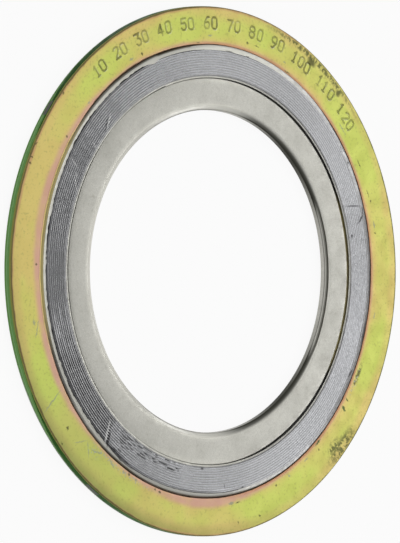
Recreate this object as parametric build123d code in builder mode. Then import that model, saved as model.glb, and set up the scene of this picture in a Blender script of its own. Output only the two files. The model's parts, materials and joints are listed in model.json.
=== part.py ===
from build123d import *
import os

# A spiral wound gasket for a 4 inch class 150 raised-face flange, in millimetres.
# It lies flat: its axis is Z and its mid-plane is Z = 0, so the two halves mirror each other.
# From the outside in it is a centring ring, a winding and an inner ring, each held by a V.

# Inner ring
inner_ring_bore = 106.4
inner_ring_width = 9.8  # radial, from its bore to the edge of its faces
inner_ring_thickness = 3.2
bore_edge_width = 1.2  # radial width of the sloping edge beside the bore, at each face
bore_edge_drop = 0.5  # and how far it falls

# Winding: a V-section metal strip and a filler tape, wound together
winding_thickness = 4.45  # across the plain metal plies
inner_plies_width = 1.2  # plain metal plies, before the filler starts
filled_width = 8.1  # turns of metal with filler between them
filled_turns = 6  # drawn across that width; the real winding has about ten, each thinner
outer_plies_width = 1.4  # plain metal plies, after the filler ends
v_depth = 1.0  # how far the fold of a ply stands out beyond its edges
filler_depth = 0.2  # from a turn's metal edge down to the filler beside it
edge_drop = 0.02  # the filled turns' metal edges end this far under the plain plies

# Outer centring ring
outer_ring_width = 13.1  # radial, from the winding's outer edge to the rim
outer_ring_thickness = 3.2
groove_lip = 0.35  # height of the plain bore beside the V groove, at each face

# Fit
seat_clearance = 0.1  # radial, between the winding and the groove or nose that holds it
nose_gap = 0.6  # radial, at the faces, from the inner ring to the winding's inner edge

# Derived sizes, from the axis outwards
face_height = winding_thickness / 2
bore_radius = inner_ring_bore / 2
nose_start_radius = bore_radius + inner_ring_width
inner_edge_radius = nose_start_radius + nose_gap
filler_start_radius = inner_edge_radius + inner_plies_width
outer_edge_radius = filler_start_radius + filled_width + outer_plies_width
rim_radius = outer_edge_radius + outer_ring_width
turn_pitch = filled_width / filled_turns


def ply_radius(edge_radius, height):
    """Radius, at a height from the mid-plane, of a ply that has edge_radius at its two edges."""
    return edge_radius + v_depth * (1 - height / face_height)


def mirrored(upper_points):
    """The same points below the mid-plane, in the opposite order."""
    return [(radius, -height) for radius, height in reversed(upper_points)]


def revolved_outline(outline):
    """Turn a closed outline of (radius, height) points about Z."""
    with BuildSketch(Plane.XZ) as section:
        with BuildLine():
            Polyline(*outline, close=True)
        make_face()
    revolve(section.sketch, axis=Axis.Z)


def cut_filler_valleys(side):
    """Cut the spiral of valleys between the metal edges on the upper (1) or lower (-1) face.

    Each turn is two half circles. Their centres lie a quarter of the pitch to either side of
    the axis, so the half circles meet exactly and close in by one pitch per turn, anticlockwise.
    """
    edge_height = face_height - edge_drop
    valley_height = edge_height - filler_depth
    clear_height = face_height + filler_depth
    for turning in (1, -1):
        start = filler_start_radius + turning * turn_pitch / 2
        end = start + filled_width
        teeth = [(end, face_height), (end, clear_height), (start, clear_height), (start, face_height)]
        for turn in range(filled_turns):
            valley = start + (turn + 0.5) * turn_pitch
            teeth.append((valley, valley_height))
            if turn < filled_turns - 1:
                teeth.append((valley + turn_pitch / 2, edge_height))
        with BuildSketch(Plane.XZ) as comb:
            with BuildLine():
                Polyline(*[(radius, side * height) for radius, height in teeth], close=True)
            make_face()
        half_turn_axis = Axis((turning * turn_pitch / 4, 0, 0), (0, 0, turning))
        revolve(comb.sketch, axis=half_turn_axis, revolution_arc=180, mode=Mode.SUBTRACT)


with BuildPart() as outer_ring:
    top = outer_ring_thickness / 2
    lip_height = top - groove_lip
    lip_radius = ply_radius(outer_edge_radius, lip_height) + seat_clearance
    groove_radius = ply_radius(outer_edge_radius, 0) + seat_clearance
    upper_half = [(rim_radius, top), (lip_radius, top), (lip_radius, lip_height)]
    revolved_outline(upper_half + [(groove_radius, 0)] + mirrored(upper_half))

with BuildPart() as winding:
    upper_half = [(inner_edge_radius, face_height), (outer_edge_radius, face_height)]
    outer_fold = (ply_radius(outer_edge_radius, 0), 0)
    inner_fold = (ply_radius(inner_edge_radius, 0), 0)
    revolved_outline(upper_half + [outer_fold] + mirrored(upper_half) + [inner_fold])
    cut_filler_valleys(1)
    cut_filler_valleys(-1)

with BuildPart() as inner_ring:
    top = inner_ring_thickness / 2
    nose_radius = ply_radius(inner_edge_radius, 0) - seat_clearance
    upper_half = [
        (bore_radius, top - bore_edge_drop),
        (bore_radius + bore_edge_width, top),
        (nose_start_radius, top),
    ]
    revolved_outline(upper_half + [(nose_radius, 0)] + mirrored(upper_half))

outer_ring.part.label = "outer_ring"
winding.part.label = "winding"
inner_ring.part.label = "inner_ring"

os.makedirs("parts", exist_ok=True)
export_step(outer_ring.part, "parts/outer_ring.step")
export_step(winding.part, "parts/winding.step")
export_step(inner_ring.part, "parts/inner_ring.step")
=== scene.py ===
import json
import math

import bmesh
import bpy
import numpy as np
from mathutils import Matrix, Vector


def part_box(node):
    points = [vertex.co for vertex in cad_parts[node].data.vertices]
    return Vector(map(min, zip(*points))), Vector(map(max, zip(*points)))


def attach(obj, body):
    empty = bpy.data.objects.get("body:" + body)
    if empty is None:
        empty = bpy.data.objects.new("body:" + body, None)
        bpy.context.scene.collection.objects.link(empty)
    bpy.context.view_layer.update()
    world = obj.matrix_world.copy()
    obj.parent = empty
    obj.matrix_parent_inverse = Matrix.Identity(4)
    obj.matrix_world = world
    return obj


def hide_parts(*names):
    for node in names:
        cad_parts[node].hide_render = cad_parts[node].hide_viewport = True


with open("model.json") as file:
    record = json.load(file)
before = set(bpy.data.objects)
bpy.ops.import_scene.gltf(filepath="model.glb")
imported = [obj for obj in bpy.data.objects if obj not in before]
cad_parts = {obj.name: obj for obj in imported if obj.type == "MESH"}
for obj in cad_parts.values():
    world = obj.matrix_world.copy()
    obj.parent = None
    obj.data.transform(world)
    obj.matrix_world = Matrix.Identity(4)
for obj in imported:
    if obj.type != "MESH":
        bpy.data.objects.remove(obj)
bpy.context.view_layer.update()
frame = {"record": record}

# A spiral wound gasket lying on a pale floor. Each real piece is one object: the centring ring, the
# metal strip, the graphite filler and the inner ring. Angles are in degrees, anticlockwise from +X
# as seen from above, and MM turns millimetres into metres. Materials take places in millimetres.
# Left is -X and right is +X, as the camera sees them.
MM = 0.001
RANDOM_SEED = 7

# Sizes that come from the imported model
RIM_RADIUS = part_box("outer_ring")[1].x
RING_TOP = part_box("outer_ring")[1].z
FACE_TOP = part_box("winding")[1].z
FOLD_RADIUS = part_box("winding")[1].x
NOSE_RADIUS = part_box("inner_ring")[1].x
MOUNTS = {mount["name"]: mount for mount in frame["record"]["mounts"]}
BORE_RADIUS = MOUNTS["inner_bore"]["dims"]["r_mm"] * MM

# The ring's edges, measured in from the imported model
RIM_TURNED = RIM_RADIUS - 0.03 * MM  # the rim's greatest radius
RIM_BOW = 0.06 * MM  # how far its edges stand back from that
RIM_EDGE = 0.15 * MM  # how far they are rounded
RIM_CORNER = RIM_TURNED - RIM_BOW - RIM_EDGE  # where the face turns over into the rim

# The V section of the strip, and the V groove that holds it in the centring ring's bore
V_DEPTH = 1.0 * MM
OUTER_EDGE = FOLD_RADIUS - V_DEPTH
GROOVE_CLEARANCE = 0.1 * MM
GROOVE_BOTTOM = FOLD_RADIUS + GROOVE_CLEARANCE  # its greatest radius
GROOVE_TOP = RING_TOP - 0.35 * MM
GROOVE_MOUTH = GROOVE_BOTTOM - V_DEPTH * GROOVE_TOP / FACE_TOP

# The winding, from the outside in
STRIP = 0.2 * MM
OUTER_PLIES = 5
OUTER_PLY_PITCH = 0.25 * MM
FILLED_TURNS = 10
TURN_PITCH = 0.81 * MM
INNER_PLIES = 4
INNER_PLY_PITCH = 0.26 * MM
TAIL_ANGLE = 113.0
WEDGE_TURNS = 0.9  # how far out the filler reaches along the widening gap beside the last plain ply
EDGE_SLOPE = 0.34  # how steeply the filler falls towards the axis
STRIP_SLOPE = 0.06  # how steeply the strip's edges fall towards the axis
INNER_PLY_SLOPE = 0.07  # how steeply the innermost plies' edges fall towards the axis
TRENCH_DEPTH = 0.62 * MM  # of the gap beside the bent lip, where it is open widest


def smooth_step(value, low, high):
    """0 below low, 1 above high, with a smooth rise between."""
    t = np.clip((value - low) / (high - low), 0, 1)
    return t * t * (3 - 2 * t)


def bump(angle, centre, width):
    """A smooth hump of height 1 at an angle, for angles in degrees."""
    away = (np.asarray(angle) - centre + 180) % 360 - 180
    return np.exp(-((away / width) ** 2))


def between(angle, first, last, soft=10.0):
    """1 from the first angle anticlockwise to the last, with ends that fade over soft degrees."""
    half = (last - first) % 360 / 2
    away = np.abs((np.asarray(angle) - first - half + 180) % 360 - 180)
    return 1 - smooth_step(away, half - soft / 2, half + soft / 2)


def wavy(angle, seed, finest, coarsest=2):
    """A smooth random wave of the angle, about -1 to 1, that closes on itself after a turn."""
    random = np.random.default_rng(RANDOM_SEED + seed)
    turns = np.unique(np.geomspace(coarsest, finest, 24).astype(int))
    phase = random.uniform(0, 2 * math.pi, len(turns))
    size = random.uniform(0.4, 1.0, len(turns)) / np.sqrt(len(turns))
    waves = np.sin(np.radians(np.asarray(angle)[..., None]) * turns + phase)
    return (waves * size).sum(-1) * 1.6


def face_outwards(mesh):
    """Turns a closed mesh's faces outwards, whichever way round its sections were listed."""
    solid = bmesh.new()
    solid.from_mesh(mesh)
    if solid.calc_volume(signed=True) < 0:
        mesh.flip_normals()
    solid.free()


def add_object(name, data):
    """An object in the scene that shows the data."""
    added = bpy.data.objects.new(name, data)
    bpy.context.scene.collection.objects.link(added)
    return added


def make_piece(name, sections, closed, sharp_angle=40):
    """A closed mesh through sections, an array of (steps, section points, 3) in metres."""
    steps, count = sections.shape[:2]
    step = np.arange(steps if closed else steps - 1)[:, None]
    point = np.arange(count)[None, :]
    after, beside = (step + 1) % steps, (point + 1) % count
    corners = [step * count + point, after * count + point, after * count + beside, step * count + beside]
    faces = np.stack(np.broadcast_arrays(*corners), -1).reshape(-1, 4).tolist()
    if not closed:
        faces.append(list(range(count)))
        faces.append(list(range((steps - 1) * count, steps * count))[::-1])
    mesh = bpy.data.meshes.new(name)
    mesh.from_pydata(sections.reshape(-1, 3).tolist(), [], faces)
    face_outwards(mesh)
    mesh.polygons.foreach_set("use_smooth", [True] * len(faces))
    mesh.set_sharp_from_angle(angle=math.radians(sharp_angle))
    piece = add_object(name, mesh)
    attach(piece, "root")
    return piece


def add_attributes(piece, **attributes):
    """Store numbers for each point of a piece, or for each of its sections, for its material."""
    points = len(piece.data.vertices)
    for name, values in attributes.items():
        values = np.asarray(values, np.float32).ravel()
        attribute = piece.data.attributes.new(name, "FLOAT", "POINT")
        attribute.data.foreach_set("value", np.repeat(values, points // len(values)))


def polar_points(radius, angle, height):
    """Points from radius, angle in degrees and height, each an array or one number for all."""
    radians = np.radians(angle)
    places = (radius * np.cos(radians), radius * np.sin(radians), height)
    return np.stack(np.broadcast_arrays(*places), -1)


def steps_between(stops, sizes):
    """Values from the first stop to the last, each stretch cut into steps of about its own size."""
    values = []
    for low, high, size in zip(stops[:-1], stops[1:], sizes):
        values.append(np.linspace(low, high, max(1, round(abs(high - low) / size)), endpoint=False))
    return np.concatenate(values + [[stops[-1]]])


# ---- Stamped numbers on the centring ring: a plain scale in tens, clockwise, feet inwards

# Each character's strokes, as corners in a box 4 wide and 6 high
GLYPHS = {
    "0": [[(0, 1), (0, 5), (1, 6), (3, 6), (4, 5), (4, 1), (3, 0), (1, 0), (0, 1)]],
    "1": [[(0.8, 4.8), (2, 6), (2, 0)], [(1, 0), (3, 0)]],
    "2": [[(0, 5), (1, 6), (3, 6), (4, 5), (4, 4), (0, 0), (4, 0)]],
    "3": [[(0, 6), (4, 6), (2, 3.6), (3, 3.4), (4, 2.4), (4, 1), (3, 0), (1, 0), (0, 1)]],
    "4": [[(3, 0), (3, 6), (0, 2), (4, 2)]],
    "5": [[(4, 6), (0.4, 6), (0.2, 3.4), (3, 3.6), (4, 2.5), (4, 1), (3, 0), (1, 0), (0, 1)]],
    "6": [[(3.6, 6), (2, 6), (0, 3), (0, 1), (1, 0), (3, 0), (4, 1), (4, 2.4), (3, 3.4), (0.6, 3.2)]],
    "7": [[(0, 6), (4, 6), (1.5, 0)]],
    "8": [[(1, 3.2), (0, 4), (0, 5), (1, 6), (3, 6), (4, 5), (4, 4), (3, 3.2), (1, 3.2), (0, 2.2),
           (0, 1), (1, 0), (3, 0), (4, 1), (4, 2.2), (3, 3.2)]],
    "9": [[(0.4, 0), (2, 0), (4, 3), (4, 5), (3, 6), (1, 6), (0, 5), (0, 3.6), (1, 2.6), (3.4, 2.8)]],
}
STAMP_TEXT = " ".join(str(number) for number in range(10, 121, 10))
STAMP_FIRST_ANGLE = 132.0
STAMP_LAST_ANGLE = 41.0
STAMP_FOOT = 80.0 * MM
STAMP_HEIGHT = 3.7 * MM
STAMP_WIDTH = 2.2 * MM
STAMP_LOW = STAMP_FOOT - 0.6 * MM  # the mesh is fine from here
STAMP_HIGH = STAMP_FOOT + STAMP_HEIGHT + 0.6 * MM  # to here
STAMP_STEP = 0.155 * MM  # its step there across the face
STAMP_TURN = 0.155  # and round it, in degrees
STROKE_HALF_WIDTH = 0.36 * MM
GLINT_ACROSS = 0.3 * MM  # how far each stroke's bright edge lies towards the axis
GLINT_ALONG = 0.12  # and how far round, in degrees
STAMP_DEPTH = 0.2 * MM
BURR_HEIGHT = 0.05 * MM


def distance_to_segment(x, y, start, end):
    """Distance of each point (x, y) from a straight stroke."""
    along = np.array(end) - np.array(start)
    share = ((x - start[0]) * along[0] + (y - start[1]) * along[1]) / (along @ along)
    share = np.clip(share, 0, 1)
    return np.hypot(x - start[0] - share * along[0], y - start[1] - share * along[1])


def stamp_pattern(radius, angle):
    """For each point of the face, how far the nearest stroke is and how hard it was struck."""
    random = np.random.default_rng(RANDOM_SEED)
    nearest = np.full(radius.shape, 1.0)
    strength = np.ones(radius.shape)
    pitch = (STAMP_FIRST_ANGLE - STAMP_LAST_ANGLE) / (len(STAMP_TEXT) - 1)
    middle = STAMP_FOOT + STAMP_HEIGHT / 2
    scale = np.array([STAMP_WIDTH / 4, STAMP_HEIGHT / 6])
    for index, character in enumerate(STAMP_TEXT):
        lean, rise, shift = random.normal(0, 1, 3) * np.array([0.05, 0.14 * MM, 0.12 * MM])
        struck, tilt = random.uniform(0.7, 1.0), random.normal(0, 0.3)
        if character == " ":
            continue
        centre = STAMP_FIRST_ANGLE - index * pitch
        near = np.abs(angle - centre) < 2 * pitch
        x = -np.radians(angle[near] - centre) * middle + STAMP_WIDTH / 2 + shift
        y = radius[near] - STAMP_FOOT + rise
        x = x - lean * y
        own = np.full(x.shape, 1.0)
        for stroke in GLYPHS[character]:
            corners = np.array(stroke) * scale
            for start, end in zip(corners[:-1], corners[1:]):
                own = np.minimum(own, distance_to_segment(x, y, start, end))
        hardness = np.clip(struck + tilt * (y / STAMP_HEIGHT - 0.5), 0.35, 1.1)
        closer = own < nearest[near]
        nearest[near] = np.where(closer, own, nearest[near])
        strength[near] = np.where(closer, hardness, strength[near])
    return nearest, strength


# ---- The centring ring

def face_zones(angle):
    """The bands that follow the ring's edges: widths in mm and strengths, by angle."""
    rose = 0.8 + 2.5 * bump(angle, 170, 26) + 1.5 * bump(angle, 209, 14) + 2.3 * bump(angle, 271, 17)
    amber = 0.5 * between(angle, 60, 300, 40) + 0.4 * bump(angle, 100, 30) + 0.8 * bump(angle, 165, 30)
    # Painted shade: a brown band along the bore edge that stands for the dark it reflects.
    brown = 0.42 * bump(angle, 127, 20) + 0.32 * bump(angle, 222, 22) + 0.15 * bump(angle, 5, 30)
    ochre = 0.9 * bump(angle, 166, 28) + 0.7 * bump(angle, 263, 20) + 0.3 * bump(angle, 350, 22)
    return {
        "rose_width": rose + 0.12 * wavy(angle, 1, 60),
        "amber_width": amber + 0.15 * wavy(angle, 2, 60),
        "brown_width": brown,
        "salmon": between(angle, 282, 100, 24),
        "olive": between(angle, 146, 200, 16),
        "shade": 0.85 * bump(angle, 238, 44),
        "lime": 0.3 * bump(angle, 230, 22),
        "ochre": ochre + 0.15 * wavy(angle, 4, 12),
        "paint_top": 1.35 - 0.45 * bump(angle, 182, 28) + 0.06 * wavy(angle, 7, 90),
        # Where the rim carries a painted reflection, lighter below and in a streak.
        "paint_wear": between(angle, 146, 218, 26),
        "dark_edge": 0.32 + 0.3 * between(angle, 96, 250, 20) + 0.2 * between(angle, 322, 38, 30),
        "rim_shade": 0.6 * bump(angle, 122, 22),
        "worn_foot": between(angle, 208, 262, 16),
    }


def centring_section():
    """The centring ring's section, as radius and height, from its bore over the face and back below."""
    bore_edge = 0.18 * MM
    face = steps_between(
        [GROOVE_MOUTH + bore_edge, STAMP_LOW, STAMP_HIGH, RIM_CORNER],
        [0.6 * MM, STAMP_STEP, 0.5 * MM],
    )
    turn = np.radians(np.arange(0, 91, 22.5))
    shoulder = RING_TOP - RIM_EDGE
    rim_corner = [(RIM_CORNER + RIM_EDGE * math.sin(a), shoulder + RIM_EDGE * math.cos(a)) for a in turn]
    bore_corner = [
        (GROOVE_MOUTH + bore_edge * (1 - math.sin(a)), RING_TOP - bore_edge * (1 - math.cos(a)))
        for a in turn
    ]
    upper = bore_corner[::-1] + [(radius, RING_TOP) for radius in face[1:-1]] + rim_corner
    rim = [
        (RIM_TURNED - RIM_BOW * (height / shoulder) ** 2, height)
        for height in np.linspace(shoulder, -shoulder, 9)[1:-1]
    ]
    under_face = np.linspace(RIM_CORNER, GROOVE_MOUTH + bore_edge, 7)[1:-1]
    under = [(radius, -height) for radius, height in rim_corner[::-1]]
    under += [(radius, -RING_TOP) for radius in under_face]
    under += [(radius, -height) for radius, height in bore_corner]
    groove = [(GROOVE_MOUTH, -GROOVE_TOP), (GROOVE_BOTTOM, 0), (GROOVE_MOUTH, GROOVE_TOP)]
    return np.array(upper + rim + under + groove)


def make_centring_ring():
    """The outer ring: stamped face, worn edges, painted rim and the V groove in its bore."""
    section = centring_section()
    angles = steps_between(
        [STAMP_LAST_ANGLE - 3, STAMP_FIRST_ANGLE + 3, STAMP_LAST_ANGLE + 357], [STAMP_TURN, 0.5]
    )[:-1]
    radius, angle = np.meshgrid(section[:, 0], angles)
    height = np.tile(section[:, 1], (len(angles), 1))

    stamped = (section[:, 1] > 0) & (section[:, 0] > STAMP_LOW) & (section[:, 0] < STAMP_HIGH)
    stroke, strength, beside = np.ones((3, *angle.shape))
    face_radius, face_angle = radius[:, stamped], angle[:, stamped]
    stroke[:, stamped], strength[:, stamped] = stamp_pattern(face_radius, face_angle)
    beside[:, stamped] = stamp_pattern(face_radius + GLINT_ACROSS, face_angle + GLINT_ALONG)[0]
    stroke, beside = stroke / STROKE_HALF_WIDTH, beside / STROKE_HALF_WIDTH
    cut = 1 - smooth_step(stroke, 0.25, 1)
    burr = np.exp(-(((stroke - 1.3) / 0.35) ** 2))
    height += strength * (BURR_HEIGHT * burr - STAMP_DEPTH * cut)

    ring = make_piece("centring_ring", polar_points(radius, angle, height), closed=True)
    add_attributes(
        ring,
        # The strokes are darkened: partly dirt in them, partly painted shade in the recesses.
        stamp=strength * (1 - smooth_step(stroke, 0.45, 1.2)),
        glint=strength * (1 - smooth_step(beside, 0.3, 1)) * (1 - cut),
        rim=smooth_step(radius, RIM_CORNER + 0.5 * RIM_EDGE, RIM_CORNER + 0.9 * RIM_EDGE),
        **face_zones(angle),
    )
    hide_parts("outer_ring")
    return ring


# ---- The inner ring

BEVEL_WIDTH = 1.8 * MM
BEVEL_DROP = 0.85 * MM
NOSE_WIDTH = 1.07 * MM  # from the face's rounded edge to the tip of the V nose
UNDER_CHAMFER = 0.55 * MM


def inner_section(angles, rounded):
    """The points round the inner ring's section, radius and height, some of them varying by angle."""
    drop = BEVEL_DROP * (1 - 0.45 * rounded)
    foot = RING_TOP - drop
    bore_corner = [
        (BORE_RADIUS, foot - 0.35 * MM),
        (BORE_RADIUS + 0.05 * MM, foot - 0.12 * MM),
        (BORE_RADIUS + 0.2 * MM, foot + 0.04 * MM),
        (BORE_RADIUS + 0.52 * MM, foot + 0.14 * MM),
        (BORE_RADIUS + 0.5 * BEVEL_WIDTH, RING_TOP - 0.5 * drop + 0.05 * MM),
        (BORE_RADIUS + 0.85 * BEVEL_WIDTH, RING_TOP - 0.09 * MM),
        (BORE_RADIUS + BEVEL_WIDTH, RING_TOP - 0.02 * MM),
        (BORE_RADIUS + 1.2 * BEVEL_WIDTH, RING_TOP),
    ]
    turn = np.radians(np.linspace(0, 60, 5))
    edge = 0.3 * MM
    nose_corner = [(-edge + edge * math.sin(a), RING_TOP - edge + edge * math.cos(a)) for a in turn]
    face_end = NOSE_RADIUS - NOSE_WIDTH + 0.3 * MM * between(angles, 82, 145, 24)
    face_end += 0.42 * MM * between(angles, 228, 290, 24)
    face_end -= 0.15 * MM * (between(angles, 333, 27, 16) + bump(angles, 50, 12) + bump(angles, 310, 12))
    face = np.linspace(BORE_RADIUS + 1.2 * BEVEL_WIDTH, NOSE_RADIUS - 1.3 * MM - edge, 8)[1:-1]
    upper = bore_corner + [(radius, RING_TOP) for radius in face]
    upper += [(face_end + offset, height) for offset, height in nose_corner]
    nose = [(NOSE_RADIUS - 0.05 * MM, level) for level in (0.06 * MM, -0.06 * MM)]
    under = [(radius, -height) for radius, height in upper[:len(bore_corner) - 1:-1]]
    under += [(BORE_RADIUS + UNDER_CHAMFER, -RING_TOP), (BORE_RADIUS, UNDER_CHAMFER - RING_TOP)]
    return upper + nose + under


def make_inner_ring():
    """The inner ring: a satin flat ring with worn bevels at its bore and a V nose on its outside."""
    angles = np.arange(0, 360, 1.0)
    rounded = bump(angles, 108, 24) + bump(angles, 252, 24)
    loop = inner_section(angles, rounded)
    sections = [polar_points(radius, angles, height) for radius, height in loop]
    ring = make_piece("inner_support_ring", np.stack(sections, 1), closed=True)

    right = between(angles, 334, 26, 10)
    left = between(angles, 84, 276, 24)
    # Painted shade: the bore edge darker near 50 and 312 degrees, and the face darker on the left.
    stained = np.clip(bump(angles, 50, 24) + bump(angles, 312, 24), 0, 1)
    left_face = 0.16 * between(angles, 104, 256, 24)
    pale, bright, dark = [], [], []
    for radius, height in loop:
        above = height > 0
        reach = np.mean(radius)
        out = np.mean(radius - BORE_RADIUS) / BEVEL_WIDTH
        bevel = (1 - smooth_step(out, 0.75, 1.4)) * above
        hidden_edge = (out < 0.05) * above * left
        # Painted highlight on the ledge near the bore's top edge, on the right.
        ledge = right * (0.1 < out < 0.35) * (0.7 - 1.4 * out) * above
        # Painted highlight on the bevel on the left, less at the hidden edge and where the bevel is
        # rounded.
        light = bevel * left * (1 - 0.7 * hidden_edge) * (1 - 0.8 * rounded) + ledge
        outside = smooth_step(reach, NOSE_RADIUS - 3 * MM, NOSE_RADIUS - 1.1 * MM) * above
        # Also a painted highlight near the nose at 88 and 265 degrees.
        pale.append(light + 0.3 * outside * (bump(angles, 265, 18) + bump(angles, 88, 16)))
        # Painted highlight on the rounded part of the bevel.
        bright.append(rounded * (0.2 < out < 0.6) * above)
        # Painted shade on the bevel on the right.
        shade = bevel * (1 - smooth_step(out, 0.36, 0.92)) * between(angles, 283, 77, 16)
        if out < 0.35:
            shade = shade * (1 - right) * (out > 0.01)
        # Painted shade on the face on the left, towards the winding, more near the nose around 182
        # degrees.
        tint = left_face * smooth_step(reach, BORE_RADIUS + 1.5 * MM, NOSE_RADIUS - 1 * MM)
        tint = tint + 0.17 * bump(angles, 182, 30) * (reach > NOSE_RADIUS - 1.5 * MM)
        # dark is all painted shade, also along the hidden bore edge on the left.
        dark.append(np.clip(shade + (out < 0.2) * stained + tint + 0.6 * hidden_edge, 0, 1))
    pale, bright, dark = (np.stack(rows, 1) for rows in (pale, bright, dark))
    add_attributes(ring, pale=pale, bright=bright, dark=dark, right_side=right)
    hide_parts("inner_ring")
    return ring


# ---- The winding

# Where the face is marked, as first angle, last angle and the step of the mesh there, in degrees
WORN_ZONES = [(14, 26, 0.5), (133, 163, 0.6), (190, 228.5, 0.6), (228.5, 234, 0.16), (234, 264, 0.4)]
PLAIN_STEP = 1.8

# The crease across the outer turns: its angle and radius at both ends, and its height
CREASE = ((230.0, 67.2 * MM), (232.4, 73.2 * MM))
CREASE_HEIGHT = 0.06 * MM


def crease_share(radius, angle, offset=0.0):
    """1 on the crease, falling to 0 beside it. The offset is in degrees, for the trough next to it."""
    (low_angle, low), (high_angle, high) = CREASE
    share = np.clip((radius - low) / (high - low), 0, 1)
    centre = low_angle + offset + share * (high_angle - low_angle)
    across = radius * np.radians((angle - centre + 180) % 360 - 180)
    beyond = radius - np.clip(radius, low, high)
    return np.exp(-((np.hypot(across, beyond) / (0.32 * MM)) ** 4))


def column_angles(first, last):
    """Angles from first to last, close together in the worn zones."""
    stops, sizes = [first], []
    for turn in range(math.floor(first / 360), math.ceil(last / 360) + 1):
        for low, high, step in WORN_ZONES:
            for stop, size in ((low + 360 * turn, PLAIN_STEP), (high + 360 * turn, step)):
                if stops[-1] < stop < last:
                    stops.append(stop)
                    sizes.append(size)
    return steps_between(stops + [last], sizes + [PLAIN_STEP])


def strip_outer_radius(travel):
    """Radius of the strip's outer side at its edges, after travelling inwards for some turns."""
    outer = np.minimum(travel, OUTER_PLIES)
    filled = np.clip(travel - OUTER_PLIES, 0, FILLED_TURNS)
    inner = np.maximum(travel - OUTER_PLIES - FILLED_TURNS, 0)
    return OUTER_EDGE - outer * OUTER_PLY_PITCH - filled * TURN_PITCH - inner * INNER_PLY_PITCH


def v_bulge(height):
    """How much further out the V section stands at a height than at its edges."""
    return V_DEPTH * (1 - np.abs(height) / FACE_TOP)


def trench_depth(angle):
    """Depth of the gap that stays open between the bent lip and the first filled turn."""
    return TRENCH_DEPTH * between(angle, 116, 239, 8) + 0.28 * MM * between(angle, 239, 276, 12)


def lip_reach(angle):
    """Radius at which the bent lip of the outermost ply ends, over the winding."""
    torn = between(angle, 116, 232, 6)
    reach = 72.95 + 0.42 * between(angle, 116, 284, 14) - 0.1 * bump(angle, 218, 12)
    reach = reach - 0.2 * bump(angle, 228, 9) + 0.6 * bump(angle, 241, 5) - 0.2 * bump(angle, 265, 13)
    reach = reach - 0.4 * between(angle, 322, 38, 24) - 0.2 * bump(angle, 127, 10)
    reach = reach - 0.7 * bump(angle, 115, 1.6)
    ragged = 0.13 * torn + 0.08 * bump(angle, 246, 16) + 0.015
    return (reach + ragged * wavy(angle, 5, 240, 12)) * MM


def plain_section(travel, angle, side, trench):
    """The strip's outer and inner side where it isn't bent: radius and height, from the top down."""
    inner_ply = smooth_step(travel, OUTER_PLIES + FILLED_TURNS - 0.03, OUTER_PLIES + FILLED_TURNS)
    slope = STRIP_SLOPE + 0.5 * (EDGE_SLOPE - STRIP_SLOPE) * between(angle % 360, 122, 166, 16)
    slope = STRIP * (slope + (INNER_PLY_SLOPE - slope) * inner_ply)
    edge = FACE_TOP - 0.08 * MM + 0.02 * MM * wavy(angle, 3, 80) + 0.05 * MM * wavy(angle, 6, 7)
    edge -= np.where(travel < OUTER_PLIES, 0.35 * MM, 0) + trench
    edge += CREASE_HEIGHT * crease_share(side, angle)
    edge = np.minimum(edge, FACE_TOP - 0.02 * MM) - 0.1 * MM * inner_ply
    wall_foot, fold, bottom = 0.9 * MM, 0.15 * MM, -FACE_TOP + 0.02 * MM
    levels = [edge + share * (wall_foot - edge) for share in (0, 0.33, 0.67, 1)]
    levels += [fold, -fold, bottom]
    outer = [(side + v_bulge(level), level) for level in levels]
    inner = [(radius - STRIP, level) for radius, level in outer]
    inner[0] = (inner[0][0], edge - slope)
    inner[-1] = (inner[-1][0], bottom + EDGE_SLOPE * STRIP)
    return outer, inner


def bent_section(travel, here, side):
    """The upper points of both sides where the lip is bent over the winding, from its end outwards."""
    lowered = 0.15 * MM * smooth_step(travel, 0.98, 1.0)
    flush = 0.14 * MM * between(here, 285, 96, 16)
    knee = FACE_TOP - 0.27 * MM
    rise = 0.25 * MM
    shift = 0.42 * between(here, 50, 101, 18) - 0.2 * bump(here, 128, 18) - 0.12 * bump(here, 222, 14)
    knee_radius = side + v_bulge(knee) + shift * MM
    thick = 0.14 * MM
    width = knee_radius - lip_reach(here)
    outer, inner = [], []
    for share in (1.0, 0.62, 0.22, 0.0):
        level = knee + rise * share ** 0.5 - lowered - flush * share
        radius = knee_radius - width * share
        outer.append((radius, level))
        inner.append((radius - (STRIP if share == 0 else 0.2 * thick), level - thick))
    return outer, inner


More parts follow.
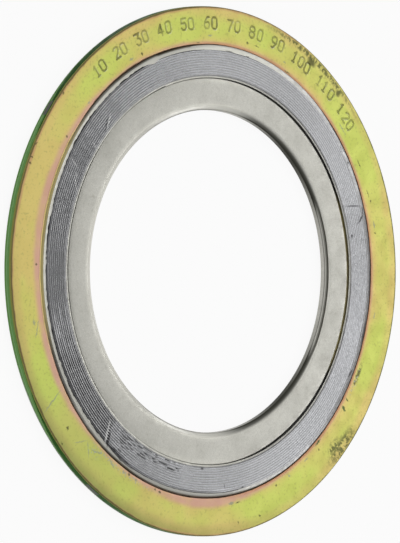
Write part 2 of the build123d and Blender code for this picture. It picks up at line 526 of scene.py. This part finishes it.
def strip_looks(travel, here, lip, trench, points):
    """Where the strip shines, where it lies in shadow, where it has a painted yellow reflection, and
    where its lip has painted shade.
    """
    outer_wall, inner_wall = slice(3, points // 2), slice(points // 2, -1)
    ply = travel - OUTER_PLIES - FILLED_TURNS
    left = bump(here, 180, 34)
    low_side = left * smooth_step(ply, 3.6, 3.8)
    bright_ply = smooth_step(ply, 1.9, 2.4) * (1 - low_side)
    bright_ply = bright_ply * (1 - 0.3 * between(here, 285, 80, 20) + 0.3 * bump(here, 0, 14))

    hidden = (travel < OUTER_PLIES) & (lip < 0.5)
    dark = np.where(hidden, 1 - 0.45 * between(here, 240, 285, 16), 0) + trench / TRENCH_DEPTH
    low_plies = 0.3 + 0.3 * (bump(here, 50, 24) + bump(here, 310, 24)) + 0.25 * left
    dark = dark + low_plies * (ply > 0.3) * (ply < 2) + 0.35 * low_side
    dark = np.repeat(np.clip(dark, 0, 1)[:, None], points, 1)
    last_wall = 0.45 + 0.55 * between(here, 285, 92, 14) - 0.35 * bump(here, 0, 14)
    last_wall = last_wall * (ply > INNER_PLIES - 1.1)
    dark[:, inner_wall] = np.maximum(dark[:, inner_wall], last_wall[:, None])

    # Painted reflection: yellow on the lip's outer wall beside the centring ring and on the last ply's
    # inner wall on the right.
    yellow = np.zeros(dark.shape)
    yellow[:, outer_wall] = ((1 - smooth_step(travel, 0.98, 1.0)) * between(here, 146, 200, 16))[:, None]
    yellow[:, inner_wall] = (0.75 * last_wall * between(here, 336, 24, 12))[:, None]
    # Painted shade on the bent lip, most on the right.
    tarnish = between(here, 318, 22, 24) + 0.25 * between(here, 146, 212, 16)
    return {
        "shine": np.maximum(lip * (1 - between(here, 288, 62, 50)), bright_ply),
        "dark": dark,
        "yellow": yellow,
        "tarnish": lip * (tarnish + 0.3 * between(here, 236, 282, 16)),
    }


def make_metal_strip():
    """The V-section strip, wound inwards from its tail, the lip of its outermost turn bent over."""
    turns = np.cumsum([0, 1, OUTER_PLIES - 1, FILLED_TURNS, INNER_PLIES])
    tail, lip_end, first_filled, last_filled, head = TAIL_ANGLE + 360.0 * turns
    angle = np.concatenate([
        steps_between([tail, lip_end], [0.5])[:-1],
        steps_between([lip_end, first_filled], [3.0])[:-1],
        column_angles(first_filled, last_filled)[:-1],
        steps_between([last_filled, head], [1.5]),
    ])
    travel = (angle - TAIL_ANGLE) / 360
    here = angle % 360
    side = strip_outer_radius(travel)
    first = (travel >= OUTER_PLIES) & (travel < OUTER_PLIES + 1)
    trench = np.where(first, trench_depth(here), 0)
    lip = 1 - smooth_step(travel, 1.0, 1.03)

    outer, inner = plain_section(travel, angle, side, trench)
    for plain, bent in zip((outer, inner), bent_section(travel, here, side)):
        for index, place in enumerate(bent):
            plain[index] = tuple(lip * b + (1 - lip) * p for b, p in zip(place, plain[index]))
    loop = [polar_points(radius, angle, level) for radius, level in outer + inner[::-1]]
    strip = make_piece("metal_strip", np.stack(loop, 1), closed=False, sharp_angle=50)
    looks = strip_looks(travel, here, lip, trench, len(loop))
    add_attributes(strip, crease=crease_share(side, angle), **looks)
    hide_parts("winding")
    return strip


def loose_filler(angle):
    """Where the filler has crumbled out between the turns, from 0 to 1."""
    turn = np.floor((angle - 180) / 360).astype(int)
    here = angle % 360
    random = np.random.default_rng(RANDOM_SEED + 9)
    start, depth = random.uniform(0, 1, (2, FILLED_TURNS + OUTER_PLIES + 2))[:, turn]
    open_gap = smooth_step(here, 190 + 10 * start, 206 + 8 * start) * (1 - smooth_step(here, 231, 232.5))
    open_gap = open_gap * (0.65 + 0.35 * depth) * (0.85 + 0.15 * wavy(angle, 10, 200))
    dashes = smooth_step(wavy(angle + 37 * turn, 11, 160, 36) + 0.4 * depth, 0.1, 0.5)
    far_end = np.where(turn > 4, 252 + 11 * start, 236 + 12 * start)
    open_dash = smooth_step(here, 233.5, 236) * (1 - smooth_step(here, far_end - 3, far_end)) * dashes
    return np.maximum(open_gap, 0.9 * open_dash)


# Across the filler's upper edge, from its outer side: the share of its width, how deep it crumbles
# out there and how dark the painted shadow is along its joint with the strip
FILLER_EDGE = ((0.0, 0.9, 0.5), (0.3, 1.0, 0.1), (0.62, 0.8, 0.0), (0.85, 0.25, 0.1), (1.0, 0.0, 0.45))


def make_graphite_filler():
    """The filler tape between the strip's turns. Its edge slopes down towards the axis."""
    angle = column_angles(TAIL_ANGLE - 360 * WEDGE_TURNS, TAIL_ANGLE + 360.0 * FILLED_TURNS)
    here = angle % 360
    travel = (angle - TAIL_ANGLE) / 360 + OUTER_PLIES
    outer_side = strip_outer_radius(travel) - STRIP
    width = outer_side - strip_outer_radius(travel + 1)
    loose = loose_filler(angle)
    trench = np.where(travel < OUTER_PLIES + 1, trench_depth(here), 0)
    crumbled_depth = 0.6 * MM
    # The trench depth at which its painted shade is fully black.
    black_depth = 0.55 * MM / 1.2
    # Where that painted shadow is fainter: on the right and from 122 to 166 degrees.
    plain = 1 - 0.6 * between(here, 335, 35, 20) - 0.3 * between(here, 122, 166, 16)
    points, hollow, seams, creases = [], [], [], []
    for share, emptied, seam in FILLER_EDGE:
        radius = outer_side - share * width
        crease = crease_share(radius, angle)
        slope = EDGE_SLOPE * share * width * (1 - crease)
        level = FACE_TOP - 0.1 * MM - slope + 0.012 * MM * wavy(angle, 20 + int(9 * share), 150)
        sunk = loose * emptied * (1 - crease)
        level = level - crumbled_depth * sunk - trench * (1 - share) + 0.7 * CREASE_HEIGHT * crease
        level -= 0.12 * MM * crease_share(radius, angle, 0.7)
        bulged = radius + v_bulge(level)
        points.append((bulged, np.minimum(level, FACE_TOP - 0.02 * MM)))
        # Painted shade, black, in the gaps where it has crumbled out and in the trench beside the lip.
        hollow.append(np.maximum(sunk, trench * (1 - share) / black_depth))
        creases.append(crease_share(bulged, angle))
        seams.append(seam * plain * (1 - creases[-1]))
    middle = np.zeros(angle.shape)
    points.append((outer_side - width + V_DEPTH, middle))
    for share in (1.0, 0.0):
        level = -FACE_TOP + 0.04 * MM + EDGE_SLOPE * share * width
        points.append((outer_side - share * width + v_bulge(level), level))
    points.append((outer_side + V_DEPTH, middle))
    loop = [polar_points(radius, angle, level) for radius, level in points]
    filler = make_piece("graphite_filler", np.stack(loop, 1), closed=False)
    unmarked = [middle] * (len(points) - len(FILLER_EDGE))
    hollow, seam, crease = (np.stack(rows + unmarked, 1) for rows in (hollow, seams, creases))
    # Painted shade: the filler darker on the left and on the right.
    sooty = between(here, 122, 248, 44) + 0.8 * between(here, 322, 18, 40)
    add_attributes(filler, hollow=hollow, seam=seam, crease=crease, sooty=sooty)
    return filler


# ---- Materials

def srgb(red, green, blue):
    """A colour from its screen values, 0 to 255."""
    def linear(value):
        value /= 255
        return value / 12.92 if value <= 0.04045 else ((value + 0.055) / 1.055) ** 2.4
    return (linear(red), linear(green), linear(blue), 1)


class Nodes:
    """A node tree built by short calls, each giving a socket that the next can take."""

    def __init__(self, tree):
        self.tree = tree

    def feed(self, socket, value):
        if isinstance(value, bpy.types.NodeSocket):
            self.tree.links.new(value, socket)
        else:
            socket.default_value = value

    def fill(self, node, **values):
        """Feeds a node's inputs by name, with _ for each space."""
        for name, value in values.items():
            self.feed(node.inputs[name.replace("_", " ")], value)
        return node

    def add(self, kind, *values, **settings):
        """A new node with its settings, and its first inputs fed with the values."""
        node = self.tree.nodes.new(kind)
        for name, value in settings.items():
            setattr(node, name, value)
        for socket, value in zip(node.inputs, values):
            self.feed(socket, value)
        return node

    def math(self, operation, first, second=0.0, clamp=False):
        return self.add("ShaderNodeMath", first, second, operation=operation, use_clamp=clamp).outputs[0]

    def plus(self, first, second, clamp=False):
        return self.math("ADD", first, second, clamp)

    def minus(self, first, second, clamp=False):
        return self.math("SUBTRACT", first, second, clamp)

    def times(self, first, second, clamp=False):
        return self.math("MULTIPLY", first, second, clamp)

    def apart(self, first, second):
        return self.math("ABSOLUTE", self.minus(first, second))

    def ramp(self, value, low, high, from_value=0.0, to_value=1.0):
        values = (value, low, high, from_value, to_value)
        return self.add("ShaderNodeMapRange", *values, interpolation_type="SMOOTHSTEP").outputs[0]

    def vector_math(self, operation, *values):
        node = self.add("ShaderNodeVectorMath", *values, operation=operation)
        return node.outputs["Value" if operation in ("LENGTH", "DOT_PRODUCT") else "Vector"]


class Material(Nodes):
    """A material, with calls for patterns that lie in the gasket's own space."""

    def __init__(self, name):
        self.material = bpy.data.materials.new(name)
        self.material.use_nodes = True
        super().__init__(self.material.node_tree)
        self.place = self.add("ShaderNodeTexCoord").outputs["Object"]

    def set(self, **values):
        self.fill(self.tree.nodes["Principled BSDF"], **values)
        return self.material

    def mix(self, share, first, second):
        node = self.add("ShaderNodeMix", share, data_type="RGBA")
        self.feed(node.inputs[6], first)
        self.feed(node.inputs[7], second)
        return node.outputs[2]

    def cover(self, colour, *layers):
        """The colour with tints laid over it in turn, each a share and a screen colour."""
        for share, tint in layers:
            colour = self.mix(share, colour, srgb(*tint))
        return colour

    def attribute(self, name):
        return self.add("ShaderNodeAttribute", attribute_name=name).outputs["Fac"]

    def noise(self, scale, detail=3.0, roughness=0.5, place=None):
        node = self.add("ShaderNodeTexNoise", place or self.place)
        return self.fill(node, Scale=scale, Detail=detail, Roughness=roughness).outputs["Fac"]

    def shake(self, value, scale, amount, detail=3.0):
        """The value with noise added, half the amount up or down at most."""
        return self.plus(value, self.times(self.minus(self.noise(scale, detail), 0.5), amount))

    def bump(self, height, strength, distance):
        node = self.add("ShaderNodeBump")
        return self.fill(node, Height=height, Strength=strength, Distance=distance).outputs["Normal"]

    def polar(self):
        """The shaded point's distance from the axis in mm, its angle in radians and its height in mm."""
        x, y, z = self.add("ShaderNodeSeparateXYZ", self.place).outputs
        radius = self.math("SQRT", self.plus(self.times(x, x), self.times(y, y)))
        height = self.math("DIVIDE", z, MM)
        return self.math("DIVIDE", radius, MM), self.math("ARCTAN2", y, x), height

    def upper_side(self):
        """1 on the upper side, 0 on the lower."""
        return self.ramp(self.polar()[2], 0.0, 0.4)

    def band(self, distance, width, soft, strength=1.0):
        """1 closer than the width, fading over the soft distance on either side of it."""
        return self.ramp(self.minus(distance, width), -soft, soft, strength, 0.0)

    def plan(self, arc_radius, ragged):
        """The point's place in mm: along an arc of the given radius, and outwards. Slightly shaken."""
        radius, turn = self.polar()[:2]
        along = self.shake(self.times(turn, arc_radius), 900, ragged, 2)
        return self.add("ShaderNodeCombineXYZ", along, self.shake(radius, 1800, ragged, 2)).outputs[0]

    def marks(self, plan, arc_radius, marks):
        """1 inside any of the marks, on the upper side only."""
        nearest = None
        for angle, radius, half_length, half_width, *lean in marks:
            centre = (math.radians((angle + 180) % 360 - 180) * arc_radius, radius, 0)
            place = self.vector_math("SUBTRACT", plan, centre)
            if lean:
                turned = self.add("ShaderNodeVectorRotate", place, rotation_type="Z_AXIS")
                place = self.fill(turned, Angle=-math.radians(*lean)).outputs[0]
            place = self.vector_math("MULTIPLY", place, (1 / half_length, 1 / half_width, 0))
            away = self.vector_math("LENGTH", place)
            nearest = away if nearest is None else self.math("MINIMUM", nearest, away)
        return self.times(self.upper_side(), self.ramp(nearest, 0.5, 1.5, 1.0, 0.0))


# Radii in mm of the arcs along which marks are measured, near where they lie, and the face's middle
FACE_ARC = 80
WINDING_ARC = 70
INNER_ARC = 63
FACE_MIDDLE = 80.6
STRIPE_ANGLE = 57  # one of the rim's four grey stripes, a quarter turn apart
STRIPE_REACH = 0.7  # how far it reaches up and down from the middle, in mm

# Marks on the ring's face, in degrees and mm: angle, radius, half length along the ring, half width
# and, where the long side isn't along the ring, its lean
DARK_MARKS = [
    (117.4, 77.0, 0.4, 0.5), (98.3, 75.4, 0.8, 0.2), (81.4, 77.7, 0.5, 0.35), (78.3, 77.8, 1.1, 0.18),
    (31.6, 78.4, 1.6, 0.18), (23.6, 78.2, 1.3, 0.2), (21.3, 78.7, 0.5, 0.25), (13.2, 78.2, 0.4, 0.3),
    (221.5, 81.0, 0.6, 0.5), (223.1, 85.9, 0.4, 0.3), (182.0, 76.8, 0.4, 0.35),
    (160.2, 86.2, 0.25, 0.6), (158.9, 86.3, 0.25, 0.6), (155.7, 86.5, 0.5, 0.25),
    (149.6, 76.8, 0.4, 0.45, 30), (142.6, 86.3, 0.5, 0.3), (337.0, 77.2, 0.5, 0.3, 40),
    (333.8, 76.8, 0.8, 0.3, -30), (312.7, 78.0, 0.4, 0.3), (295.5, 77.4, 0.5, 0.45),
    (288.2, 84.3, 0.3, 0.3), (281.2, 84.0, 0.3, 0.4), (255.0, 75.8, 0.6, 0.35), (253.2, 75.6, 0.4, 0.3),
    (243.8, 75.6, 0.5, 0.4), (281.8, 77.5, 0.9, 0.2, -10), (60.2, 84.4, 1.9, 1.1),
    (49.2, 84.6, 1.0, 1.1),
]
GREEN_MARKS = [
    (326.2, 77.2, 0.5, 1.1, 15), (328.7, 76.8, 0.3, 0.6), (313.7, 75.8, 1.5, 0.35),
    (66.0, 75.4, 1.3, 0.25),
]
GREY_MARKS = [
    (94.0, 77.7, 0.9, 0.25), (68.0, 77.8, 0.7, 0.2), (42.0, 78.1, 2.4, 0.2), (15.3, 78.2, 1.2, 0.35),
    (237.5, 76.5, 1.9, 0.3, 20), (232.0, 77.4, 2.4, 0.25, -25), (229.5, 79.2, 2.6, 0.16, 40),
    (226.5, 80.0, 2.4, 0.16, -55), (197.0, 78.6, 2.8, 0.2, 25), (195.4, 79.4, 0.9, 0.5),
    (214.0, 81.3, 4.3, 0.2, 76), (138.8, 76.5, 0.6, 0.3), (121.2, 77.3, 1.0, 0.35),
    (307.6, 76.8, 1.1, 0.3), (300.6, 77.2, 0.5, 0.5), (279.6, 77.3, 1.1, 0.45),
    (352.3, 78.0, 1.2, 0.18), (242.0, 76.0, 0.7, 0.3), (246.5, 75.9, 0.6, 0.4),
]
# Mottled patches, by the same numbers
PALE_PATCHES = [(241.0, 76.2, 15.0, 0.8), (231.5, 78.0, 3.0, 1.6), (334.0, 77.0, 5.0, 0.8)]
SCUFFED_PATCHES = [
    (319.0, 84.9, 7.0, 2.4), (317.0, 82.0, 3.0, 1.6), (59.0, 85.9, 20.5, 0.9), (336.0, 77.0, 4.5, 0.8),
]


def ring_face_colour(m, radius, plan):
    """Yellow chromate: green in the middle, ochre beside it, rose along the edges, brown along the bore
    edge as painted shade, and stamped strokes darkened by dirt and painted shade.
    """
    shaken = m.shake(radius, 240, 0.6)
    inner = m.minus(shaken, GROOVE_MOUTH / MM)
    outer = m.minus((RIM_TURNED - RIM_BOW) / MM, shaken)
    cloud = m.ramp(m.noise(45), 0.35, 0.65, -0.3, 0.4)
    side = m.ramp(m.apart(radius, FACE_MIDDLE), 1.5, 5.5, 0.0, 0.7)
    ochre = m.plus(m.plus(cloud, side), m.attribute("ochre"), clamp=True)
    shade = m.times(m.attribute("shade"), m.ramp(outer, 0.3, 5.5, 0.85, 0.0))
    speckle = m.ramp(m.noise(1100, 4), 0.52, 0.75, 0.0, 0.35)
    amber = m.band(outer, m.attribute("amber_width"), 0.5, 0.75)
    rose = m.band(inner, m.attribute("rose_width"), 1.1)
    rose = m.times(rose, m.ramp(m.noise(150), 0.2, 0.6, 0.6, 0.95))
    salmon = m.times(m.attribute("salmon"), m.band(inner, 0.7, 0.55, 0.85))
    olive = m.times(m.attribute("olive"), m.band(inner, 0.5, 0.2, 0.9))
    rib = m.times(m.attribute("olive"), m.ramp(m.apart(inner, 0.7), 0.05, 0.2, 0.3, 0.0))
    # Painted shade along the bore edge, in brown.
    brown = m.band(inner, m.attribute("brown_width"), 0.12)
    dark_edge = m.band(outer, m.attribute("dark_edge"), 0.2, 0.8)
    streaks = m.noise(1.0, 3, 0.6, m.vector_math("MULTIPLY", plan, (0.9, 0.5, 1)))

    def marked(marks, strength):
        return m.times(m.marks(plan, FACE_ARC, marks), strength)

    return m.cover(
        m.mix(ochre, srgb(213, 222, 110), srgb(225, 205, 122)),
        (shade, (140, 142, 78)),
        (m.attribute("lime"), (150, 182, 90)),
        (speckle, (150, 150, 78)),
        (amber, (200, 152, 112)),
        (rose, (219, 172, 152)),
        (salmon, (204, 148, 108)),
        (olive, (206, 190, 112)),
        (rib, (120, 84, 56)),
        (brown, (84, 60, 36)),
        (dark_edge, (74, 80, 36)),
        (marked(GREY_MARKS, 0.7), (150, 156, 140)),
        (marked(DARK_MARKS, 0.85), (84, 84, 46)),
        (marked(GREEN_MARKS, 0.9), (48, 88, 40)),
        (marked(SCUFFED_PATCHES, m.ramp(streaks, 0.42, 0.54, 0.1, 0.9)), (96, 100, 54)),
        (marked(PALE_PATCHES, m.ramp(m.noise(1300), 0.54, 0.62, 0.0, 0.8)), (176, 182, 172)),
        (m.times(m.attribute("glint"), m.ramp(m.noise(700), 0.4, 0.6, 0.0, 0.7)), (240, 240, 205)),
        # Stamped strokes: dirt and painted shade.
        (m.times(m.attribute("stamp"), 0.62, clamp=True), (82, 80, 50)),
    )


def rim_paint_colour(m, turn, height):
    """Green paint on the rim, dark at its top. A painted reflection makes it lighter below and in a
    streak on the side towards -X. Painted shade near 122 degrees, grey stripes at the quarters.
    """
    wear = m.attribute("paint_wear")
    drop = m.shake(height, 400, 0.7)
    start = m.minus(m.times(wear, 1.9), 0.6)
    streak = m.ramp(m.math("ABSOLUTE", m.plus(drop, 0.35)), 0.1, 0.3, 0.7, 0.0)
    green = m.cover(
        m.mix(m.ramp(m.noise(180), 0.3, 0.7), srgb(50, 104, 28), srgb(66, 124, 44)),
        # Painted reflection: the paint lighter below, and a light streak, on the side towards -X.
        (m.ramp(drop, start, m.minus(start, 0.6)), (146, 204, 118)),
        (m.times(streak, wear), (190, 240, 176)),
        (m.attribute("rim_shade"), (28, 64, 14)),
        (m.times(m.attribute("worn_foot"), m.ramp(drop, -0.9, -1.25)), (226, 230, 222)),
    )
    quarter = m.math("PINGPONG", m.plus(turn, math.radians(360 - STRIPE_ANGLE)), math.radians(45))
    beside = m.ramp(m.shake(quarter, 250, 0.03), 0.026, 0.038)
    beyond = m.ramp(m.math("ABSOLUTE", drop), STRIPE_REACH, STRIPE_REACH + 0.3)
    return m.mix(m.math("MAXIMUM", beside, beyond), srgb(128, 130, 122), green)


def zinc_material():
    """The centring ring: yellow chromated zinc, stamped and scuffed, with a painted rim."""
    m = Material("yellow_zinc")
    radius, turn, height = m.polar()
    plan = m.plan(FACE_ARC, 1.1)
    below = m.shake(m.minus(m.attribute("paint_top"), height), 600, 0.3)
    rim = m.attribute("rim")
    painted = m.times(rim, m.ramp(below, -0.06, 0.06))
    bare = m.mix(rim, ring_face_colour(m, radius, plan), srgb(190, 190, 104))
    colour = m.mix(painted, bare, rim_paint_colour(m, turn, height))
    grain = m.plus(m.noise(2500, 4), m.times(m.noise(400), 2.0))
    return m.set(
        Base_Color=colour,
        Metallic=m.ramp(rim, 0.4, 0.6, 0.6, 0.0),
        Specular_IOR_Level=m.ramp(rim, 0.4, 0.6, 0.5, 0.05),
        Roughness=m.ramp(m.noise(220), 0.3, 0.7, 0.38, 0.5),
        Normal=m.bump(grain, 0.25, 0.02 * MM),
    )


BORE_LINES = ((1.38, 0.06), (1.05, 0.05))  # dark lines on the bevel at the right: height, half width


def satin_steel_material():
    """Tumbled stainless steel with a fine grain, painted highlights on the bore's bevel and near the
    nose, and painted shade.
    """
    m = Material("satin_steel")
    grain = m.noise(3500, 4, 0.7)
    pale = m.attribute("pale")
    colour = m.cover(
        m.mix(m.ramp(grain, 0.3, 0.7), srgb(206, 205, 197), srgb(184, 183, 175)),
        (m.ramp(m.noise(700, 5), 0.5, 0.8, 0.0, 0.6), (172, 170, 160)),
        (m.ramp(m.noise(90, 4), 0.4, 0.7, 0.0, 0.25), (160, 159, 150)),
        # Painted shade on the bevel and face.
        (m.attribute("dark"), (66, 66, 58)),
    )
    level = m.plus(m.polar()[2], m.times(m.noise(120, 2), 0.12))
    for height, half_width in BORE_LINES:
        line = m.ramp(m.apart(level, height), 0.02, 2 * half_width, 0.9, 0.0)
        colour = m.cover(colour, (m.times(line, m.attribute("right_side")), (56, 52, 40)))
    return m.set(
        # bright and pale: painted highlights, drawn as plain pale colour without metal.
        Base_Color=m.cover(colour, (m.attribute("bright"), (252, 251, 244)), (pale, (252, 250, 238))),
        Metallic=m.ramp(pale, 0.1, 0.9, 0.85, 0.0),
        Roughness=m.ramp(m.noise(300, 4), 0.3, 0.7, 0.36, 0.46),
        Normal=m.bump(m.plus(grain, m.times(m.noise(900), 0.6)), 0.3, 0.03 * MM),
    )


# Marks on the winding, the same numbers as for the ring's face
# Dark marks. Those along the bent lip's edge, near 72.8 to 73.1 mm, are painted shadow under the lip; the
# one at 232.5 degrees is painted shadow beside the crease.
WINDING_DARK = [
    (22.3, 69.4, 3.4, 0.2, 107), (18.0, 71.8, 2.0, 0.36, 52), (20.3, 73.5, 0.8, 0.35),
    (19.4, 73.2, 0.5, 0.3), (33.8, 73.4, 0.4, 0.35), (14.0, 66.2, 0.6, 0.5), (268.7, 65.1, 0.7, 0.35),
    (232.5, 71.1, 2.8, 0.5, 66), (277.3, 71.1, 0.8, 0.14, 80), (283.7, 72.8, 0.5, 0.25),
    (138.5, 66.8, 2.5, 0.14, 151), (1.0, 73.9, 5.0, 0.25), (347.0, 73.8, 4.0, 0.3),
    (335.0, 73.0, 1.5, 0.4, 10), (81.0, 73.1, 0.8, 0.18), (87.5, 73.1, 1.6, 0.14),
    (104.0, 72.88, 9.5, 0.17), (84.0, 72.8, 13.0, 0.08), (203.5, 72.9, 1.3, 0.35, 5),
    (198.8, 72.8, 1.0, 0.4, -5), (180.3, 73.1, 0.5, 0.35), (173.5, 72.9, 1.5, 0.3),
    (153.0, 72.8, 0.8, 0.25), (148.0, 72.9, 0.6, 0.25),
]
# Light marks: scratches, and at 231.15 degrees the crease's painted highlight.
WINDING_LIGHT = [
    (231.15, 70.1, 3.4, 0.42, 66), (154.0, 70.0, 1.8, 0.16, 109), (158.8, 66.6, 2.6, 0.16, 145),
    (137.5, 66.5, 2.8, 0.18, 151), (156.6, 67.4, 1.2, 0.12, 130), (146.0, 66.0, 1.5, 0.1, 120),
]
# Green glints in the gap beside the inner ring, painted reflections: angle, radius, half length and half
# width.
GREEN_TRACES = [(15.3, 63.8, 4.4, 0.5), (344.0, 63.8, 3.6, 0.5)]


def marked_winding(m, colour):
    """Scratches and dents across the winding's face, painted shadow under the lip's edge and beside the
    crease, and the crease's painted highlight, over the colour of a piece of it.
    """
    plan = m.plan(WINDING_ARC, 0.35)
    dark = m.times(m.marks(plan, WINDING_ARC, WINDING_DARK), 0.75)
    light = m.times(m.marks(plan, WINDING_ARC, WINDING_LIGHT), 0.85)
    # The crease painted bright along its ridge: painted highlight.
    light = m.math("MAXIMUM", light, m.times(m.attribute("crease"), m.upper_side()))
    return m.cover(colour, (dark, (48, 48, 50)), (light, (238, 238, 236)))


def strip_material():
    """Rolled stainless strip, brightest on the bent lip and the innermost plies."""
    m = Material("strip_steel")
    colour = m.cover(
        m.mix(m.ramp(m.noise(500, 4), 0.3, 0.7), srgb(160, 160, 160), srgb(178, 178, 178)),
        (m.attribute("shine"), (200, 199, 190)),
        # Painted shade on the lip.
        (m.attribute("tarnish"), (112, 111, 110)),
    )
    # Painted green reflections in the painted shadow of that gap.
    traces = m.marks(m.plan(INNER_ARC, 0.2), INNER_ARC, GREEN_TRACES)
    shadow = m.mix(traces, srgb(44, 43, 38), srgb(30, 104, 76))
    colour = m.mix(m.attribute("dark"), marked_winding(m, colour), shadow)
    # Painted yellow reflection, drawn as plain colour without metal.
    yellow = m.attribute("yellow")
    return m.set(
        Base_Color=m.cover(colour, (yellow, (255, 240, 170))),
        Metallic=m.minus(1.0, m.math("MAXIMUM", yellow, m.attribute("crease")), clamp=True),
        Roughness=m.ramp(m.noise(700), 0.3, 0.7, 0.28, 0.4),
        Normal=m.bump(m.noise(1800), 0.2, 0.02 * MM),
    )


def graphite_material():
    """Pressed flexible graphite: grey with a soft metallic sheen and painted shade on the left and right,
    black as painted shade where it has crumbled out and beside the lip, and painted shadow along its
    joints with the strip.
    """
    m = Material("graphite")
    flake = m.ramp(m.noise(1600, 4, 0.7), 0.35, 0.7)
    clean = m.mix(flake, srgb(206, 207, 210), srgb(230, 231, 234))
    sooty = m.mix(flake, srgb(172, 173, 176), srgb(198, 199, 202))
    colour = m.cover(
        # Painted shade on the left and right.
        m.mix(m.attribute("sooty"), clean, sooty),
        # Painted shadow along the joints with the strip.
        (m.attribute("seam"), (96, 96, 99)),
        # Painted shade in the hollows.
        (m.times(m.attribute("hollow"), 1.2, clamp=True), (22, 22, 24)),
    )
    return m.set(
        Base_Color=marked_winding(m, colour),
        Metallic=m.minus(0.9, m.attribute("crease"), clamp=True),
        Roughness=m.ramp(m.noise(900), 0.3, 0.7, 0.36, 0.5),
        Normal=m.bump(m.noise(2600, 4, 0.7), 0.35, 0.03 * MM),
    )


# ---- The pieces

for make, material in (
    (make_centring_ring, zinc_material),
    (make_inner_ring, satin_steel_material),
    (make_metal_strip, strip_material),
    (make_graphite_filler, graphite_material),
):
    make().data.materials.append(material())


# ---- Floor, light and camera

FLOOR_HALF = 4.0
SHADOW_SHARE = 0.08  # how much of the floor's own shading shows


def make_floor():
    """A white floor that the gasket lies on. It shows as white and keeps part of the shadow."""
    mesh = bpy.data.meshes.new("floor")
    quarters = ((-1, -1), (1, -1), (1, 1), (-1, 1))
    corners = [(x * FLOOR_HALF, y * FLOOR_HALF, -FACE_TOP) for x, y in quarters]
    mesh.from_pydata(corners, [], [(0, 1, 2, 3)])
    material = bpy.data.materials.new("floor_white")
    material.use_nodes = True
    nodes = Nodes(material.node_tree)
    nodes.tree.nodes.clear()
    diffuse = nodes.add("ShaderNodeBsdfDiffuse", (0.98, 0.98, 0.98, 1)).outputs[0]
    glow = nodes.add("ShaderNodeEmission").outputs[0]
    rays = nodes.add("ShaderNodeLightPath").outputs
    seen = nodes.math("MAXIMUM", rays["Is Camera Ray"], rays["Is Glossy Ray"])
    seen = nodes.math("MAXIMUM", seen, rays["Is Transmission Ray"])
    mix = nodes.add("ShaderNodeMixShader", nodes.times(seen, 1 - SHADOW_SHARE), diffuse, glow)
    nodes.add("ShaderNodeOutputMaterial", mix.outputs[0])
    mesh.materials.append(material)
    floor = add_object("floor", mesh)


def add_softbox(name, place, width, height, power):
    """A rectangular soft light at a place, aimed at the gasket."""
    light = bpy.data.lights.new(name, "AREA")
    light.shape = "RECTANGLE"
    light.size = width
    light.size_y = height
    light.energy = power
    lamp = add_object(name, light)
    lamp.location = place
    lamp.rotation_euler = (-Vector(place)).to_track_quat("-Z", "Y").to_euler()


LOW_LEVEL = 0.12  # the tent's brightness near the ground
LOW_ENDS = 0.28  # sine of the height above which it brightens
TENT_LEVEL = 0.74  # the tent's brightness overhead
TENT_STARTS = 0.62  # sine of the height above which it is that bright
CAMERA_SIDE = (-0.683, -0.046, 0.729)  # about the direction of the camera, where the tent is dark
CAMERA_SIDE_LEVEL = 0.2
GAP_SIDE = (0.47, 0.0, 0.883)  # the tent's roof is open here, above the side light
GAP_LEVEL = 0.3


def light_scene():
    """A white tent that darkens towards the ground, around the camera and at a gap, and two lamps."""
    world = bpy.data.worlds.new("studio")
    world.use_nodes = True
    nodes = Nodes(world.node_tree)
    place = nodes.add("ShaderNodeTexCoord").outputs["Generated"]
    height = nodes.add("ShaderNodeSeparateXYZ", place).outputs[2]

    def darkened(side, starts, full, level):
        """The level near one side and 1 elsewhere, between two cosines of the angle from it."""
        return nodes.ramp(nodes.vector_math("DOT_PRODUCT", place, side), starts, full, 1.0, level)

    tent = nodes.ramp(height, LOW_ENDS, TENT_STARTS, LOW_LEVEL, TENT_LEVEL)
    tent = nodes.times(tent, darkened(CAMERA_SIDE, 0.62, 0.8, CAMERA_SIDE_LEVEL))
    tent = nodes.times(tent, darkened(GAP_SIDE, 0.94, 0.985, GAP_LEVEL))
    nodes.fill(nodes.tree.nodes["Background"], Color=(1, 1, 1, 1), Strength=tent)
    bpy.context.scene.world = world
    add_softbox("overhead", (0.25, 0.15, 1.6), 0.9, 1.1, 4.0)
    add_softbox("right", (1.6, 0.05, 1.2), 1.2, 0.45, 3.6)


CAMERA_AZIMUTH = -176.1
CAMERA_ELEVATION = 46.7
CAMERA_DISTANCE = 1.2375
CAMERA_ROLL = 89.55
CAMERA_AIM = Vector((-4.2 * MM, -0.36 * MM, 0))  # the point in the middle of the picture
CAMERA_LENS = 249.2


def make_camera():
    """A long lens on the -X side, rolled so that +Y is up in the picture and +X is to the right."""
    data = bpy.data.cameras.new("camera")
    data.lens = CAMERA_LENS
    camera = add_object("camera", data)
    elevation = math.radians(CAMERA_ELEVATION)
    away = Vector(polar_points(math.cos(elevation), CAMERA_AZIMUTH, math.sin(elevation)))
    level = (-away).to_track_quat("-Z", "Y").to_matrix()
    turned = level @ Matrix.Rotation(math.radians(CAMERA_ROLL), 3, "Z")
    camera.matrix_world = Matrix.Translation(CAMERA_AIM + away * CAMERA_DISTANCE) @ turned.to_4x4()
    bpy.context.scene.camera = camera


make_floor()
light_scene()
make_camera()
bpy.context.scene.view_settings.view_transform = "Standard"
